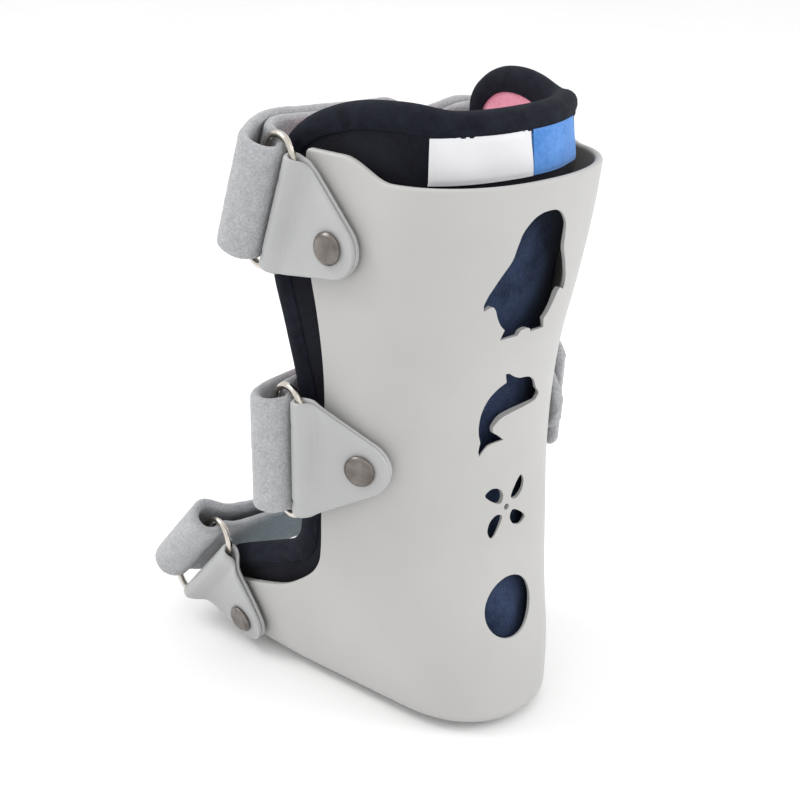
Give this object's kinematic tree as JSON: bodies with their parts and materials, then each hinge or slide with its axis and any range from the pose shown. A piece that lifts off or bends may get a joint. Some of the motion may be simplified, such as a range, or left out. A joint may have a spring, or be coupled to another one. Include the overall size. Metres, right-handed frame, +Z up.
{
  "type": "medical walking boot",
  "caption": "Child's medical walking boot: rigid open-front shell with animal cut-outs, padded liner and brushed straps through wire rings.",
  "frame": {"origin": "on the floor, at the underside of the sole, under the ankle and midway between the side walls", "axes": "+X towards the toes, +Y towards the side with the rings and tabs, +Z up the leg"},
  "size_m": [0.1465, 0.1196, 0.2144],
  "materials": {
    "sole": "matte",
    "shell": "satin",
    "padding": "matte",
    "pale_blue_fleece": "matte",
    "pink_fleece": "matte",
    "navy_tape": "matte",
    "white_cloth": "satin",
    "blue_felt": "matte",
    "vinyl": "satin",
    "nickel": "polished",
    "gunmetal": "brushed",
    "brushed_loop": "matte"
  },
  "bodies": {
    "root": {"sole": "sole", "shell": "shell", "liner": "padding", "lining_lower": "pale_blue_fleece", "lining_upper": "pink_fleece", "liner_binding": "navy_tape", "label": "white_cloth", "side_panel": "blue_felt", "tab_top": "vinyl", "ring_top": "nickel", "rivet_top": "gunmetal", "strap_top": "brushed_loop", "anchor_top": "gunmetal", "tab_middle": "vinyl", "ring_middle": "nickel", "rivet_middle": "gunmetal", "strap_middle": "brushed_loop", "anchor_middle": "gunmetal", "tab_bottom": "vinyl", "ring_bottom": "nickel", "rivet_bottom": "gunmetal", "strap_bottom": "brushed_loop", "anchor_bottom": "gunmetal"}
  },
  "joints": []
}
